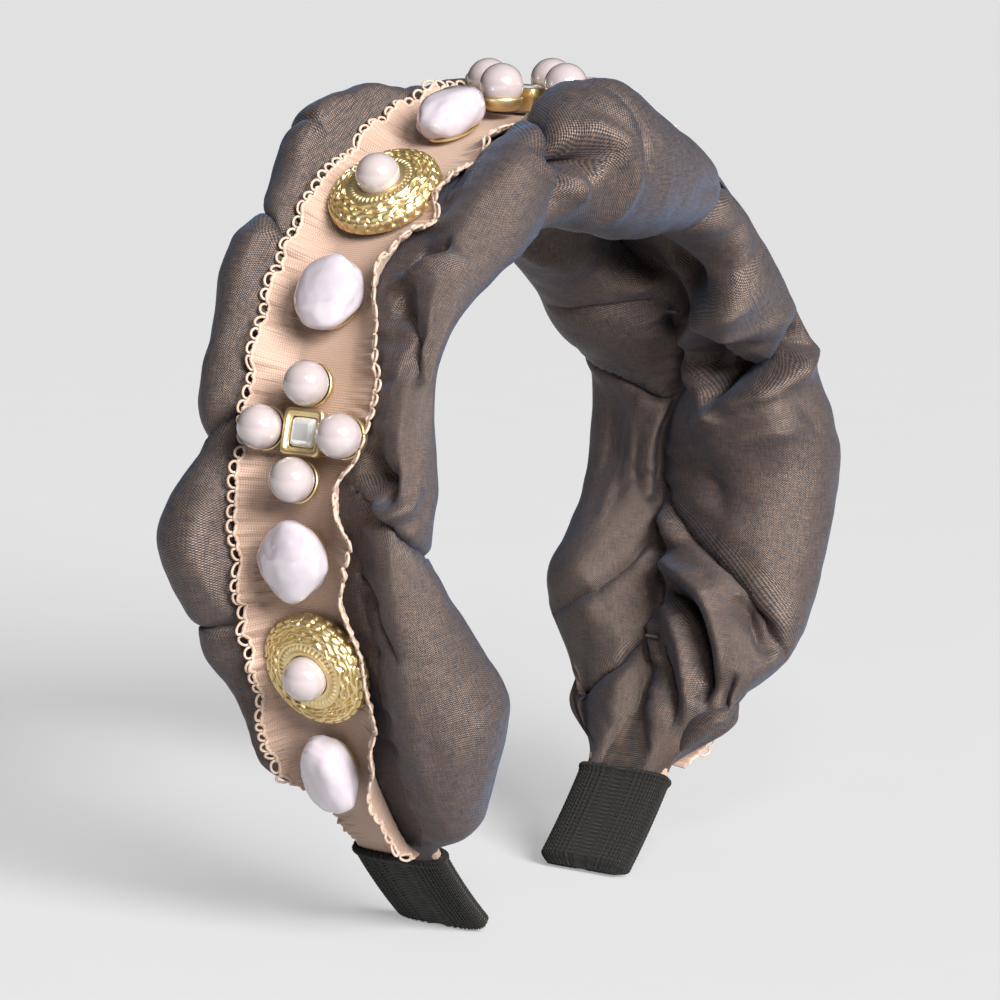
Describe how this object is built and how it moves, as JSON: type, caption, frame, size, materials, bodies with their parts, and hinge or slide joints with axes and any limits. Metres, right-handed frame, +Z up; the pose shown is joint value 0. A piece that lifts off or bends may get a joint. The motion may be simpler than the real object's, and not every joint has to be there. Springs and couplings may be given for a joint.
{
  "type": "ruched headband",
  "caption": "Wide C-shaped sprung headband with a gathered satin cover, a picot trim ribbon and a row of pearl, gilt and crystal ornaments; it stands on its two tips.",
  "frame": {"origin": "on the floor, midway between the two tips that the headband stands on, in the middle of the band's width", "axes": "+Z up from the tips to the crown, X from ear to ear with +X to the wearer's left when +Y faces back, Y across the band's width"},
  "size_m": [0.1534, 0.053, 0.157],
  "materials": {
    "hoop_plastic": "matt moulded strip",
    "cover_fabric": "shot taffeta, bronze brown over slate blue, soft sheen",
    "trim_fabric": "peach beige grosgrain",
    "knit": "black ribbed knit",
    "thread": "dark thread",
    "glue": "set hot glue",
    "gilt": "pale satin gilt",
    "crystal": "cut and polished",
    "pearl": "pearlescent, pinkish white",
    "baroque_pearl": "pearlescent, lilac white"
  },
  "bodies": {
    "root": {"hoop_core": "hoop_plastic", "hoop_wrap": "trim_fabric", "pleated_cover": "cover_fabric", "trim_ribbon": "trim_fabric", "picot_edge_front": "trim_fabric", "picot_edge_back": "trim_fabric", "left_tip_sleeve": "knit", "right_tip_sleeve": "knit", "tacking_stitches": "thread", "glue_pads": "glue", "crown_cross_setting": "gilt", "crown_cross_crystal": "crystal", "crown_cross_pearl_left": "pearl", "crown_cross_pearl_right": "pearl", "crown_cross_pearl_front": "pearl", "crown_cross_pearl_back": "pearl", "left_cross_setting": "gilt", "left_cross_crystal": "crystal", "left_cross_pearl_left": "pearl", "left_cross_pearl_right": "pearl", "left_cross_pearl_front": "pearl", "left_cross_pearl_back": "pearl", "right_cross_setting": "gilt", "right_cross_crystal": "crystal", "right_cross_pearl_left": "pearl", "right_cross_pearl_right": "pearl", "right_cross_pearl_front": "pearl", "right_cross_pearl_back": "pearl", "left_upper_oval_plate": "gilt", "left_upper_oval_pearl": "baroque_pearl", "left_upper_nugget_plate": "gilt", "left_upper_nugget_pearl": "baroque_pearl", "left_lower_nugget_plate": "gilt", "left_lower_nugget_pearl": "baroque_pearl", "left_lower_oval_plate": "gilt", "left_lower_oval_pearl": "baroque_pearl", "left_upper_medallion_disc": "gilt", "left_upper_medallion_pearl": "pearl", "left_lower_medallion_disc": "gilt", "left_lower_medallion_pearl": "pearl", "right_upper_oval_plate": "gilt", "right_upper_oval_pearl": "baroque_pearl", "right_upper_nugget_plate": "gilt", "right_upper_nugget_pearl": "baroque_pearl", "right_lower_nugget_plate": "gilt", "right_lower_nugget_pearl": "baroque_pearl", "right_lower_oval_plate": "gilt", "right_lower_oval_pearl": "baroque_pearl", "right_upper_medallion_disc": "gilt", "right_upper_medallion_pearl": "pearl", "right_lower_medallion_disc": "gilt", "right_lower_medallion_pearl": "pearl"}
  },
  "joints": []
}
